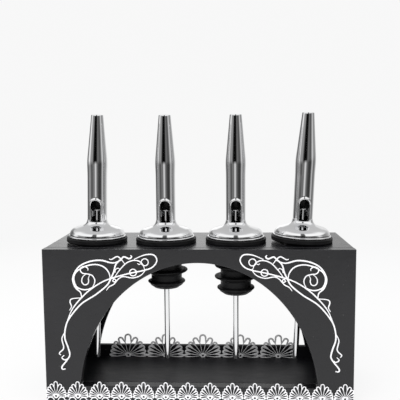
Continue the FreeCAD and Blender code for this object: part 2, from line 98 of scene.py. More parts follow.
# ---------------------------------------------------------------- node helpers
class Nodes:
    """Short calls for building a node tree."""

    def __init__(self, tree):
        self.tree = tree
        tree.nodes.clear()

    def add(self, kind, settings=None, **inputs):
        node = self.tree.nodes.new(kind)
        for key, value in (settings or {}).items():
            setattr(node, key, value)
        for key, value in inputs.items():
            self.feed(node.inputs[key.replace("_", " ")], value)
        return node

    def feed(self, socket, value):
        if isinstance(value, bpy.types.NodeSocket):
            self.tree.links.new(value, socket)
        else:
            socket.default_value = value

    def math(self, operation, first, second=0.0, third=0.0):
        node = self.tree.nodes.new("ShaderNodeMath")
        node.operation = operation
        for socket, value in zip(node.inputs, (first, second, third)):
            self.feed(socket, value)
        return node.outputs[0]

    def ramp(self, value, stops):
        """Greys over the value, as (place, brightness) stops with straight runs between them."""
        node = self.tree.nodes.new("ShaderNodeValToRGB")
        ramp = node.color_ramp
        ramp.interpolation = "LINEAR"
        while len(ramp.elements) < len(stops):
            ramp.elements.new(0.5)
        for element, (place, light) in zip(ramp.elements, stops):
            element.position = place
            element.color = (light, light, light, 1)
        self.feed(node.inputs[0], value)
        return node.outputs[0]

    def mix(self, share, first, second):
        """Colour that goes from first to second."""
        node = self.tree.nodes.new("ShaderNodeMix")
        node.data_type = "RGBA"
        self.feed(node.inputs["Factor"], share)
        colours = [socket for socket in node.inputs if socket.type == "RGBA"]
        for socket, value in zip(colours, (first, second)):
            self.feed(socket, value)
        return next(socket for socket in node.outputs if socket.type == "RGBA")

    def map(self, value, low, high, to_low=0.0, to_high=1.0):
        """The value's run from low to high, brought to the run from to_low to to_high."""
        node = self.add("ShaderNodeMapRange")
        for socket, number in zip(node.inputs, (value, low, high, to_low, to_high)):
            self.feed(socket, number)
        return node.outputs[0]

    def noise(self, where, scale, detail, roughness):
        node = self.add("ShaderNodeTexNoise", Vector=where, Scale=scale, Detail=detail,
                        Roughness=roughness)
        return node.outputs[0]


def new_material(name):
    """Material with a plain shader, and the object's own coordinates to draw on it with."""
    material = bpy.data.materials.new(name)
    material.use_nodes = True
    nodes = Nodes(material.node_tree)
    shader = nodes.add("ShaderNodeBsdfPrincipled")
    output = nodes.add("ShaderNodeOutputMaterial")
    nodes.feed(output.inputs["Surface"], shader.outputs[0])
    where = nodes.add("ShaderNodeTexCoord").outputs["Object"]
    return material, nodes, shader, where


def bumped(nodes, shader, height, distance, strength):
    """Gives the shader a fine relief."""
    bump = nodes.add("ShaderNodeBump", Height=height, Distance=distance, Strength=strength)
    nodes.feed(shader.inputs["Normal"], bump.outputs[0])


def grey(level, blue, light=1.0):
    """Grey with its own level of blue, brightened or dimmed by light."""
    return (level * light, level * light, blue * light, 1)


# ---------------------------------------------------------------- materials
EDGE_WEAR_AND_HIGHLIGHT = 0.5 * MM    # how far the paler edges reach in from the boards' edges: part wear, part a painted highlight
PAINTED_SHADE_DEPTH = 0.7 * MM     # size of the hollows painted with shade in the silver


def black_paint(name, light, gloss, rough):
    """Satin charcoal paint, rolled on board: fine stipple, faint smears, dust, and paler edges that are
    part wear, part a painted highlight.
    """
    material, nodes, shader, where = new_material(name)
    stipple = nodes.noise(where, 1500, 4, 0.65)
    cloud = nodes.noise(where, 28, 4, 0.6)
    drawn_out = nodes.add("ShaderNodeMapping", Vector=where, Scale=(30, 160, 160)).outputs[0]
    smear = nodes.noise(drawn_out, 4, 3, 0.6)
    dust = nodes.ramp(nodes.noise(where, 820, 2, 0.5), [(0.0, 0.0), (0.745, 0.0), (0.78, 1.0)])
    # paler edges found by the bevel: part wear, part a painted highlight along the edges
    bevel = nodes.add("ShaderNodeBevel", {"samples": 6}, Radius=EDGE_WEAR_AND_HIGHLIGHT)
    geometry = nodes.add("ShaderNodeNewGeometry")
    turn = nodes.add("ShaderNodeVectorMath", {"operation": "DOT_PRODUCT"})
    nodes.feed(turn.inputs[0], bevel.outputs[0])
    nodes.feed(turn.inputs[1], geometry.outputs["True Normal"])
    rim = nodes.map(turn.outputs["Value"], 0.995, 0.9)
    patches = nodes.map(nodes.noise(where, 260, 3, 0.6), 0.42, 0.62, 0.25)
    edge_wear_and_highlight = nodes.math("MULTIPLY", rim, patches)
    base = nodes.mix(nodes.map(cloud, 0.3, 0.7), grey(0.0085, 0.0105, light), grey(0.0145, 0.0172, light))
    dusty = nodes.mix(nodes.math("MULTIPLY", dust, 0.3), base, grey(0.2, 0.2))
    nodes.feed(shader.inputs["Base Color"],
               nodes.mix(nodes.math("MULTIPLY", edge_wear_and_highlight, 0.75), dusty, grey(0.13, 0.138)))
    nodes.feed(shader.inputs["Roughness"],
               nodes.math("ADD", nodes.map(smear, 0.3, 0.7, rough - 0.04, rough + 0.04),
                          nodes.map(stipple, 0.3, 0.7, -0.02, 0.03)))
    shader.inputs["Specular IOR Level"].default_value = gloss
    bumped(nodes, shader, stipple, 0.04 * MM, 0.35)
    return material


def silver_paint(name, light):
    """Silver-white lacquer over a cast, with painted shade greying its hollows, and a fine grain."""
    material, nodes, shader, where = new_material(name)
    grain = nodes.noise(where, 2600, 3, 0.6)
    patch = nodes.noise(where, 240, 3, 0.55)
    # painted shade: the silver is greyed where occlusion finds hollows
    painted_shade_ao = nodes.add("ShaderNodeAmbientOcclusion", {"samples": 4, "only_local": True},
                       Distance=PAINTED_SHADE_DEPTH)
    clean = nodes.mix(nodes.map(patch, 0.3, 0.7), grey(0.88, 0.9, light), grey(0.99, 1.0, light))
    shade = nodes.map(painted_shade_ao.outputs["AO"], 0.35, 0.95)
    nodes.feed(shader.inputs["Base Color"], nodes.mix(shade, grey(0.37, 0.39, light), clean))
    shader.inputs["Metallic"].default_value = 0.1
    nodes.feed(shader.inputs["Roughness"], nodes.map(patch, 0.3, 0.7, 0.28, 0.4))
    bumped(nodes, shader, grain, 0.03 * MM, 0.5)
    return material


def chrome_plate(name, dull, metallic):
    """Polished plate with very faint wipe marks; dull adds to its roughness."""
    material, nodes, shader, where = new_material(name)
    drawn_out = nodes.add("ShaderNodeMapping", Vector=where, Scale=(1, 1, 0.15)).outputs[0]
    wipe = nodes.noise(drawn_out, 900, 3, 0.6)
    film = nodes.noise(where, 90, 3, 0.5)
    shader.inputs["Metallic"].default_value = metallic
    nodes.feed(shader.inputs["Base Color"],
               nodes.mix(nodes.map(film, 0.3, 0.7), (0.84, 0.845, 0.855, 1), grey(0.9, 0.905)))
    nodes.feed(shader.inputs["Roughness"],
               nodes.math("ADD", nodes.map(wipe, 0.35, 0.7, 0.02 + dull, 0.04 + dull),
                          nodes.map(film, 0.4, 0.7, 0.0, 0.02)))
    return material


def shade_and_seam_metal():
    """Dark plate: painted shade inside the spouts' bores, and a darker plate in the collars' seams."""
    material, nodes, shader, where = new_material("shade_and_seam_metal")
    film = nodes.noise(where, 300, 3, 0.6)
    shader.inputs["Metallic"].default_value = 0.8
    nodes.feed(shader.inputs["Base Color"],
               nodes.mix(nodes.map(film, 0.3, 0.7), grey(0.02, 0.021), grey(0.045, 0.047)))
    nodes.feed(shader.inputs["Roughness"], nodes.map(film, 0.3, 0.7, 0.35, 0.5))
    return material


def black_rubber():
    """Matt moulded rubber with a fine grain and a trace of dust."""
    material, nodes, shader, where = new_material("rubber")
    grain = nodes.noise(where, 1900, 4, 0.7)
    bloom = nodes.noise(where, 130, 4, 0.6)
    nodes.feed(shader.inputs["Base Color"],
               nodes.mix(nodes.map(bloom, 0.35, 0.75), grey(0.0045, 0.005), grey(0.011, 0.0115)))
    nodes.feed(shader.inputs["Roughness"], nodes.map(bloom, 0.3, 0.7, 0.4, 0.58))
    shader.inputs["Specular IOR Level"].default_value = 0.22
    bumped(nodes, shader, grain, 0.05 * MM, 0.45)
    return material


FINISHES = {
    "black_board": black_paint("black_board", light=0.6, gloss=0.5, rough=0.23),
    "silver_trim": silver_paint("silver_trim", light=1.0),
    "chrome": chrome_plate("chrome", dull=0.0, metallic=1.0),
    "rubber": black_rubber(),
}
# the same silver with its colour dimmed to 0.45: painted shade for the back lace inside the box
SHADED_SILVER = silver_paint("silver_trim_painted_shade", light=0.45)
SHADE_AND_SEAM_PLATE = shade_and_seam_metal()
# copy of the black paint for the back panel: its own sheen, and its colour dimmed to 0.4 as painted shade
# inside the box
BACK_PAINT_SHADED = black_paint("black_board_back_shaded", light=0.4, gloss=0.1, rough=0.45)
# copy of the black paint for the floor of the box: its own sheen, and its colour brightened to 0.75 as
# painted light
FLOOR_PAINT_LIT = black_paint("black_board_floor_lit", light=0.75, gloss=0.36, rough=0.42)
TUBE_PLATE = chrome_plate("tube_plate", dull=0.2, metallic=0.4)


# ---------------------------------------------------------------- placing pieces
def mesh_from(name, bm):
    """Mesh in metres from a bmesh in millimetres, welded, with its faces turned outwards."""
    bmesh.ops.remove_doubles(bm, verts=bm.verts, dist=1e-4)
    bmesh.ops.recalc_face_normals(bm, faces=bm.faces)
    bmesh.ops.scale(bm, vec=(MM, MM, MM), verts=bm.verts)
    mesh = bpy.data.meshes.new(name)
    bm.to_mesh(mesh)
    bm.free()
    return mesh


def add_piece(name, mesh, finish, body, node, place=Matrix()):
    """Shows the mesh for a CAD node, riding on the node's body; finish picks its material when the mesh has
    none.
    """
    if not mesh.materials:
        mesh.materials.append(FINISHES[finish])
    piece = bpy.data.objects.new(name, mesh)
    scene.collection.objects.link(piece)
    piece.matrix_world = place
    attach(piece, body)
    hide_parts(node)


# ---------------------------------------------------------------- outlines and lathes
ARC_STEP = math.radians(9)
SUPPORT = 0.12          # distance from an edge to the loop that keeps its shading tight


def arc_points(start, end, radius, turn):
    """Points after start up to end on an arc that turns left (1) or right (-1)."""
    chord = end - start
    left = Vector((-chord.y, chord.x)).normalized() * turn
    centre = (start + end) / 2 + left * math.sqrt(max(0.0, radius**2 - (chord.length / 2) ** 2))
    first = math.atan2(*(start - centre).yx)
    sweep = 2 * math.asin(min(1.0, chord.length / 2 / radius)) * turn
    steps = max(2, math.ceil(abs(sweep) / ARC_STEP))
    return [centre + radius * Vector((math.cos(first + sweep * step / steps),
                                      math.sin(first + sweep * step / steps)))
            for step in range(1, steps + 1)]


def outline(corners):
    """Closed outline; a corner with a radius and a turn is reached by an arc."""
    points = []
    for index, (x, y, *arc) in enumerate(corners):
        here, before = Vector((x, y)), Vector(corners[index - 1][:2])
        points += arc_points(before, here, *arc) if arc else [here]
    return points


def supported(points, gap=SUPPORT):
    """The same closed line with a point close to each end of its longer runs."""
    result = []
    for index, here in enumerate(points):
        before = points[index - 1]
        run = (here - before).length
        if run > 5 * gap:
            along = (here - before) / run * gap
            result += [before + along, here - along]
        result.append(here)
    return result


def turn_strip(bm, profile, angles):
    """Faces between the profile's copies at successive angles; the front is angle 0."""
    rows = [[bm.verts.new((r * math.sin(angle), -r * math.cos(angle), z)) for r, z in profile]
            for angle in angles]
    for left, right in zip(rows, rows[1:]):
        for index in range(len(profile) - 1):
            bm.faces.new((left[index], right[index], right[index + 1], left[index + 1]))


def full_turn(count):
    """Angles once round, in count steps."""
    return [2 * math.pi * step / count for step in range(count + 1)]


def lathe(profile, count):
    """The closed profile of (radius, height), turned about the Z axis in count steps."""
    bm = bmesh.new()
    closed = supported(profile)
    turn_strip(bm, closed + closed[:1], full_turn(count))
    return bm


def darken(mesh, picks_shade_and_seam):
    """Gives the faces that the picker marks (centre in mm, normal) the dark plate, painted shade in the
    spouts and the darker seams; the rest is chrome.
    """
    mesh.materials.append(FINISHES["chrome"])
    mesh.materials.append(SHADE_AND_SEAM_PLATE)
    for face in mesh.polygons:
        face.material_index = int(picks_shade_and_seam(face.center / MM, face.normal))
    return mesh


def smooth(mesh):
    """Shades the mesh smoothly."""
    mesh.polygons.foreach_set("use_smooth", [True] * len(mesh.polygons))
    return mesh


def pourer_joints():
    """The hinge of each pourer, from left to right."""
    return [joint for joint in frame["joints"] if joint["name"].startswith("turn_")]


# ---------------------------------------------------------------- the box
BOARD_EDGE = 0.35       # rounding along the boards' edges
ARCH_HALF_WIDTH = 64.1
ARCH_HALF_HEIGHT = 75.8
ARCH_CENTRE = 2.0
FRONT_SILL = 10.2
BACK_SILL = 17.3
HOLE_RADIUS = 14.0
HOLE_PITCH = 38.8
ARCH_STEPS = 140
HOLE_STEPS = 96


def inset(loop, distance):
    """The closed loop moved to its left, corner by corner."""
    moved = []
    for index, here in enumerate(loop):
        before = (here - loop[index - 1]).normalized()
        after = (loop[(index + 1) % len(loop)] - here).normalized()
        first, second = Vector((-before.y, before.x)), Vector((-after.y, after.x))
        moved.append(here + (first + second) / (1 + first.dot(second)) * distance)
    return moved


def plate(name, loops, thickness):
    """Board with rounded edges.  The first loop runs anticlockwise, the holes clockwise."""
    quarter = [math.radians(angle) for angle in (90, 60, 30, 0)]
    rim = [(BOARD_EDGE * (1 - math.cos(a)), BOARD_EDGE * (1 - math.sin(a))) for a in quarter]
    rim.append((0, BOARD_EDGE + SUPPORT))
    levels = rim + [(inward, thickness - height) for inward, height in reversed(rim)]
    bm = bmesh.new()
    caps = [[], []]
    for loop in loops:
        rings = [[bm.verts.new((*point, height)) for point in inset(loop, inward)]
                 for inward, height in levels]
        for lower, upper in zip(rings, rings[1:]):
            for index in range(len(loop)):
                bm.faces.new((lower[index - 1], lower[index], upper[index], upper[index - 1]))
        for cap, ring in zip(caps, (rings[0], rings[-1])):
            cap += [bm.edges.get((ring[index - 1], ring[index])) for index in range(len(ring))]
    for face in bm.faces:
        face.smooth = True
    for cap in caps:
        bmesh.ops.triangle_fill(bm, edges=cap, use_beauty=True, use_dissolve=False)
    return mesh_from(name, bm)


def rectangle(left, bottom, right, top):
    """A board's outline, anticlockwise."""
    corners = ((left, bottom), (right, bottom), (right, top), (left, top))
    return supported([Vector(corner) for corner in corners], BOARD_EDGE + SUPPORT)


def arch_loop(sill):
    """The arch's opening, clockwise: along the sill to the left and back over the ellipse."""
    start = math.asin((sill - ARCH_CENTRE) / ARCH_HALF_HEIGHT)
    angles = [math.pi - start - (math.pi - 2 * start) * step / ARCH_STEPS
              for step in range(ARCH_STEPS + 1)]
    return supported([Vector((ARCH_HALF_WIDTH * math.cos(angle),
                              ARCH_CENTRE + ARCH_HALF_HEIGHT * math.sin(angle)))
                      for angle in angles], BOARD_EDGE + SUPPORT)


def hole_loop(x, y):
    """A pourer's hole, clockwise."""
    angles = [-2 * math.pi * step / HOLE_STEPS for step in range(HOLE_STEPS)]
    return [Vector((x + HOLE_RADIUS * math.cos(angle), y + HOLE_RADIUS * math.sin(angle)))
            for angle in angles]


def add_upright_board(node, holes, paint):
    """Board seen from the front, its thickness along Y."""
    low, high = span(node)
    mesh = plate(node, [rectangle(low.x, low.z, high.x, high.z)] + holes, high.y - low.y)
    mesh.materials.append(paint)
    upright = Matrix.Rotation(math.radians(90), 4, "X")
    place = Matrix.Translation(Vector((0, high.y, 0)) * MM) @ upright
    add_piece(f"{node}_board", mesh, "black_board", "stand", node, place)


def add_side_board(node):
    """Board seen from its side, its thickness along X."""
    low, high = span(node)
    mesh = plate(node, [rectangle(low.y, low.z, high.y, high.z)], high.x - low.x)
    turn = Matrix(((0, 0, 1), (1, 0, 0), (0, 1, 0))).to_4x4()
    place = Matrix.Translation(Vector((low.x, 0, 0)) * MM) @ turn
    add_piece(f"{node}_board", mesh, "black_board", "stand", node, place)


def add_flat_board(node, holes, paint):
    """Board seen from above, its thickness along Z."""
    low, high = span(node)
    mesh = plate(node, [rectangle(low.x, low.y, high.x, high.y)] + holes, high.z - low.z)
    mesh.materials.append(paint)
    place = Matrix.Translation(Vector((0, 0, low.z)) * MM)
    add_piece(f"{node}_board", mesh, "black_board", "stand", node, place)


def add_box():
    """The six boards; the deck's holes are in line with the pourers' axes."""
    axis_y = pourer_joints()[0]["pos_m"][1] / MM
    holes = [hole_loop((number - 1.5) * HOLE_PITCH, axis_y) for number in range(4)]
    add_upright_board("front_panel", [arch_loop(FRONT_SILL)], FINISHES["black_board"])
    add_upright_board("back_panel", [arch_loop(BACK_SILL)], BACK_PAINT_SHADED)
    add_side_board("left_side")
    add_side_board("right_side")
    add_flat_board("base_board", [], FLOOR_PAINT_LIT)
    add_flat_board("deck", holes, FINISHES["black_board"])


# ---------------------------------------------------------------- pourers
# Heights are from the underside of the collar ring.
RING_RADIUS, RING_THICKNESS, RING_ROUNDING = 17.0, 2.5, 0.5
SPOUT_RADIUS, SPOUT_WALL, TIP_RADIUS, TIP_WALL = 5.45, 0.8, 3.35, 0.6
SPOUT_BULGE, BULGE_HEIGHT, SPOUT_TOP = 5.65, 45.5, 71.0
WINDOW_HALF, WINDOW_FOOT, WINDOW_TOP, WINDOW_SPRING = 2.7, 11.6, 23.5, 20.8
RIM_HALF, RIM_TOP = 3.7, 25.3           # foot of the raised rim round the window
# The rim, from its foot to the opening and on through the wall: (share of the way, depth).
RIM_SECTION = ((0.12, -0.03), (0.28, -0.12), (0.45, -0.26), (0.62, -0.4), (0.76, -0.47), (0.9, -0.45),
               (0.98, -0.32), (1.0, -0.15), (1.0, 0.3), (1.0, SPOUT_WALL))
SWELL_START = 36        # where the tube begins to widen
TAPER_SOFT = 2.8        # half of the height over which the taper sets in
SPOUT_STEPS = 56        # rows of faces between the window and the tip
TIP_EDGE = 0.17         # softening of the tip's two edges
SPOUT_FOOT_ROW = 6.5    # a row of points between the spout's foot and the window
SEAT = RING_THICKNESS + 0.03            # underside of the chrome, a hair above the washer
COLLAR_RADIUS, COLLAR_LIP, DOME_RADIUS, DOME_FOOT = 16.0, 1.2, 15.35, 4.1
DOME_SHOULDER, SHOULDER_HEIGHT, DOME_ROUNDING = 12.6, 7.55, 4.2
NECK_FOOT, NECK_START, NECK_RADIUS, NECK_TOP, NECK_ROUNDING = 8.2, 8.85, 5.6, 12.4, 3.7
NECK_DIP = 0.15         # the neck stays this far under the window's foot
PAINTED_SHADE_ABOVE = 17.0       # above this height the spout's bore is dark plate, painted shade; clean plate only near the window's foot
SEAM = 0.32             # groove between the collar's lip and its dome
PARTING_WIDTH, PARTING_DEPTH = 0.12, 0.07       # parting line round the washer
TUBE_RADIUS, TUBE_WALL, TUBE_EDGE = 1.65, 0.5, 0.12
CLEARANCE = 0.05
PATCH_HALF_ANGLE = math.radians(55)     # the grid of faces around the window
PATCH_LOW, PATCH_HIGH = 10.4, 27.2
ACROSS, STRAIGHT_STEPS, ARCH_SIDE_STEPS = 24, 18, 6
UP = STRAIGHT_STEPS + ARCH_SIDE_STEPS
PATCH_SPREAD = 9        # rings of faces between the patch's edge and the rim
BEHIND_STEPS = 54       # faces round the rest of the spout


def ease(share):
    """Smooth step from 0 to 1."""
    return share * share * (3 - 2 * share)


def window_ring(half, top):
    """Round the window, anticlockwise from its lower left corner, as (angle, height)."""
    def at(x, z):
        return Vector((math.asin(x / SPOUT_RADIUS), z))

    def arch(degrees):
        angle = math.radians(degrees)
        return at(half * math.cos(angle), WINDOW_SPRING + (top - WINDOW_SPRING) * math.sin(angle))

    foot = [at(half * (2 * step / ACROSS - 1), WINDOW_FOOT) for step in range(ACROSS)]
    straight = [at(half, WINDOW_FOOT + (WINDOW_SPRING - WINDOW_FOOT) * step / STRAIGHT_STEPS)
                for step in range(STRAIGHT_STEPS)]
    side = straight + [arch(45 * step / ARCH_SIDE_STEPS) for step in range(ARCH_SIDE_STEPS)]
    crown = [arch(45 + 90 * step / ACROSS) for step in range(ACROSS)]
    down = [Vector((-point.x, point.y)) for point in (side + crown[:1])[:0:-1]]
    return foot + side + crown + down


def patch_ring():
    """Edge of the grid around the window, with as many points as the window's ring."""
    wide = 2 * PATCH_HALF_ANGLE
    tall = PATCH_HIGH - PATCH_LOW
    foot = [Vector((wide * (step / ACROSS - 0.5), PATCH_LOW)) for step in range(ACROSS)]
    side = [Vector((wide / 2, PATCH_LOW + tall * step / UP)) for step in range(UP)]
    crown = [Vector((wide * (0.5 - step / ACROSS), PATCH_HIGH)) for step in range(ACROSS)]
    down = [Vector((-wide / 2, PATCH_HIGH - tall * step / UP)) for step in range(UP)]
    return foot + side + crown + down


def spout_line():
    """Outer line of the spout above the window, up to just under its tip: (radius, height)."""
    points = []
    slope = (SPOUT_BULGE - TIP_RADIUS) / (SPOUT_TOP - BULGE_HEIGHT)
    for step in range(SPOUT_STEPS + 1):
        z = PATCH_HIGH + (SPOUT_TOP - 0.18 - PATCH_HIGH) * step / SPOUT_STEPS
        risen = min(1.0, max(0.0, (z - SWELL_START) / (BULGE_HEIGHT - SWELL_START)))
        over = z - BULGE_HEIGHT
        if abs(over) > TAPER_SOFT:
            drop = max(0.0, over)
        else:
            drop = (over + TAPER_SOFT) ** 2 / (4 * TAPER_SOFT)
        swell = (SPOUT_BULGE - SPOUT_RADIUS) * ease(risen)
        points.append(Vector((SPOUT_RADIUS + swell - slope * drop, z)))
    return points


def between(bm, start, end, share, depth):
    """Ring of points part of the way from one ring to another, at a depth in the spout's wall."""
    radius = SPOUT_RADIUS - depth
    points = [first.lerp(second, share) for first, second in zip(start, end)]
    return [bm.verts.new((radius * math.sin(point.x), -radius * math.cos(point.x), point.y))
            for point in points]


def spout_mesh():
    """Tube with a tapered tip, and an arched window whose rim is drawn outwards."""
    inner = SPOUT_RADIUS - SPOUT_WALL
    outside = spout_line()
    tip = outside[-1].x
    inside = []
    for point in reversed(outside):
        share = min(1.0, max(0.0, (point.y - BULGE_HEIGHT) / (SPOUT_TOP - BULGE_HEIGHT)))
        inside.append(Vector((point.x - SPOUT_WALL + (SPOUT_WALL - TIP_WALL) * share, point.y)))
    lip = [Vector((tip - 0.05, SPOUT_TOP - 0.06)),
           Vector((tip - TIP_EDGE, SPOUT_TOP)),
           Vector((tip - TIP_WALL + TIP_EDGE, SPOUT_TOP)),
           Vector((tip - TIP_WALL + 0.05, SPOUT_TOP - 0.06))]
    foot_rows = (PATCH_LOW, SPOUT_FOOT_ROW, SEAT + SUPPORT, SEAT)
    foot = [Vector((inner, height)) for height in foot_rows]
    foot += [Vector((SPOUT_RADIUS, height)) for height in reversed(foot_rows)]
    around_patch = [PATCH_HALF_ANGLE * (2 * step / ACROSS - 1) for step in range(ACROSS + 1)]
    rest = 2 * (math.pi - PATCH_HALF_ANGLE)
    behind = [PATCH_HALF_ANGLE + rest * step / BEHIND_STEPS for step in range(BEHIND_STEPS + 1)]
    rows = [PATCH_LOW + (PATCH_HIGH - PATCH_LOW) * step / UP for step in range(UP + 1)]
    bm = bmesh.new()
    turn_strip(bm, outside + lip + inside, around_patch + behind[1:])
    turn_strip(bm, foot, around_patch + behind[1:])
    for radius in (SPOUT_RADIUS, inner):
        turn_strip(bm, [(radius, row) for row in rows], behind)

    # rings from the patch's edge to the foot of the rim, up it, through the wall, and out inside
    edge = patch_ring()
    rim = window_ring(RIM_HALF, RIM_TOP)
    opening = window_ring(WINDOW_HALF, WINDOW_TOP)
    shares = [step / PATCH_SPREAD for step in range(PATCH_SPREAD + 1)]
    rings = [between(bm, edge, rim, share, 0.0) for share in shares]
    rings += [between(bm, rim, opening, share, depth) for share, depth in RIM_SECTION]
    rings += [between(bm, opening, edge, share, SPOUT_WALL) for share in shares[1:]]
    for first, second in zip(rings, rings[1:]):
        for index in range(len(first)):
            bm.faces.new((first[index - 1], first[index], second[index], second[index - 1]))

    # painted shade: the inner wall of the bore above the window's foot is dark plate
    def inside_wall(centre, normal):
        away = Vector((centre.x, centre.y, 0)).normalized()
        return normal.dot(away) < -0.3 and centre.z > PAINTED_SHADE_ABOVE

    return smooth(darken(mesh_from("spout", bm), inside_wall))


def collar_mesh():
    """Flange with a rolled lip, a shallow dome and a neck that closes round the spout."""
    lip_middle = SEAT + COLLAR_LIP / 2
    lip_top = SEAT + COLLAR_LIP
    bm = lathe(outline([
        (SPOUT_RADIUS, SEAT),
        (COLLAR_RADIUS - COLLAR_LIP / 2, SEAT),
        (COLLAR_RADIUS, lip_middle, COLLAR_LIP / 2, 1),
        (COLLAR_RADIUS - COLLAR_LIP / 2, lip_top, COLLAR_LIP / 2, 1),
        (DOME_RADIUS - SEAM, lip_top),
        (DOME_RADIUS - SEAM, lip_top + SEAM * 0.7),
        (DOME_RADIUS, lip_top + SEAM),
        (DOME_RADIUS, DOME_FOOT),
        (DOME_SHOULDER, SHOULDER_HEIGHT, DOME_ROUNDING, 1),
        (NECK_FOOT, NECK_START),
        (NECK_RADIUS, NECK_TOP, NECK_ROUNDING, -1),
        (SPOUT_RADIUS, NECK_TOP),
    ]), 128)
    # the neck dips in front, under the foot of the window
    for vertex in bm.verts:
        if vertex.co.y < 0 and abs(vertex.co.x) < RIM_HALF + 0.3:
            vertex.co.z = min(vertex.co.z, WINDOW_FOOT - NECK_DIP)

    def in_seam(centre, normal):
        radius = math.hypot(centre.x, centre.y)
        low = lip_top - 0.05 < centre.z < lip_top + SEAM * 0.95
        return low and SPOUT_RADIUS + 1 < radius < DOME_RADIUS - 0.02

    return smooth(darken(mesh_from("collar", bm), in_seam))


def ring_mesh():
    """Rubber washer with rounded edges and a faint parting line round its middle."""
    inner = SPOUT_RADIUS - SPOUT_WALL + CLEARANCE
    outer, top, soft = RING_RADIUS, RING_THICKNESS, RING_ROUNDING
    bm = lathe(outline([
        (inner, 0),
        (outer - soft, 0),
        (outer, soft, soft, 1),
        (outer, top / 2 - PARTING_WIDTH),
        (outer - PARTING_DEPTH, top / 2),
        (outer, top / 2 + PARTING_WIDTH),
        (outer, top - soft),
        (outer - soft, top, soft, 1),
        (inner, top),
    ]), 128)
    return smooth(mesh_from("collar_ring", bm))


CORK_NECK, CORK_FOOT, CORK_BOTTOM = 8.65, 7.7, -25.9
FIN_RADIUS, LAST_FIN_RADIUS = 12.0, 10.6
FIN_START, FIN_PITCH, FIN_EDGE, FIN_FLARE, FINS = -3.4, 6.4, 0.6, 2.6, 4
FIN_WAVE = 0.22         # how far the soft fins are out of true


def cork_mesh(number):
    """Finned rubber cork; its soft fins are slightly wavy, each cork in its own way."""
    bore = SPOUT_RADIUS - SPOUT_WALL + CLEARANCE
    corners = [(bore, 0), (bore, CORK_BOTTOM),
               (CORK_FOOT - 0.6, CORK_BOTTOM), (CORK_FOOT, CORK_BOTTOM + 0.5)]
    for fin in reversed(range(FINS)):
        edge = FIN_START - fin * FIN_PITCH
        last = fin == FINS - 1
        radius = LAST_FIN_RADIUS if last else FIN_RADIUS
        if not last:
            corners.append((CORK_NECK, edge - FIN_FLARE))
        corners += [
            (CORK_NECK + 0.45, edge - FIN_FLARE + 0.75),
            (radius - FIN_EDGE, edge - FIN_EDGE),
            (radius, edge, FIN_EDGE * 1.05, 1),
            (radius - FIN_EDGE, edge + FIN_EDGE, FIN_EDGE * 1.05, 1),
            (CORK_NECK + 0.35, edge + FIN_EDGE * 1.4),
            (CORK_NECK, edge + FIN_EDGE * 1.4 + 0.3),
        ]
    corners += [(CORK_NECK, -0.25), (CORK_NECK - 0.25, 0)]
    bm = lathe(outline(corners), 112)
    for vertex in bm.verts:
        x, y, z = vertex.co
        reach = max(0.0, (math.hypot(x, y) - CORK_NECK) / (FIN_RADIUS - CORK_NECK))
        wave = noise.noise(Vector((x * 0.11, y * 0.11, z * 0.15 + 9.1 * number)))
        vertex.co.z += wave * FIN_WAVE * 2 * reach
    return smooth(mesh_from(f"cork_{number}", bm))


def tube_mesh(low, high):
    """Breather tube with softened ends, duller inside the spout than below it."""
    soft, inner = TUBE_EDGE, TUBE_RADIUS - TUBE_WALL
    bm = lathe(outline([
        (inner, low + soft),
        (inner + soft, low, soft * 1.01, 1),
        (TUBE_RADIUS - soft, low),
        (TUBE_RADIUS, low + soft, soft * 1.01, 1),
        (TUBE_RADIUS, high - soft),
        (TUBE_RADIUS - soft, high, soft * 1.01, 1),
        (inner + soft, high),
        (inner, high - soft, soft * 1.01, 1),
    ]), 56)
    mesh = mesh_from("breather_tube", bm)
    mesh.materials.append(FINISHES["chrome"])
    mesh.materials.append(TUBE_PLATE)
    for face in mesh.polygons:
        face.material_index = int(face.center.z > RING_THICKNESS * MM)
    return smooth(mesh)


def standing(joint):
    """Place of a pourer: its foot, and its own axis as Z."""
    axis = Vector(joint["axis"])
    across = Vector((0, 1, 0)).cross(axis).normalized()
    turned = Matrix((across, axis.cross(across), axis)).transposed().to_4x4()
    return Matrix.Translation(joint["pos_m"]) @ turned


def add_pourers():
    """Four pourers; each cork stands at the height that its CAD node has."""
    spout, collar, ring = spout_mesh(), collar_mesh(), ring_mesh()
    for number, joint in enumerate(pourer_joints(), start=1):
        place = standing(joint)
        cork_body, spout_body = joint["parent"], joint["child"]
        add_piece(f"spout_{number}_tube", spout, "chrome", spout_body, f"spout_{number}", place)
        add_piece(f"collar_{number}_flange", collar, "chrome", spout_body, f"collar_{number}", place)
        node = f"collar_ring_{number}"
        add_piece(f"{node}_washer", ring, "rubber", cork_body, node, place)
        node = f"cork_{number}"
        top = span(node, place)[1].z
        lowered = place @ Matrix.Translation((0, 0, top * MM))
        add_piece(f"{node}_fins", cork_mesh(number), "rubber", cork_body, node, lowered)
        node = f"breather_tube_{number}"
        low, high = span(node, place)
        tube = tube_mesh(low.z, high.z)
        add_piece(f"breather_{number}_tube", tube, "chrome", spout_body, node, place)


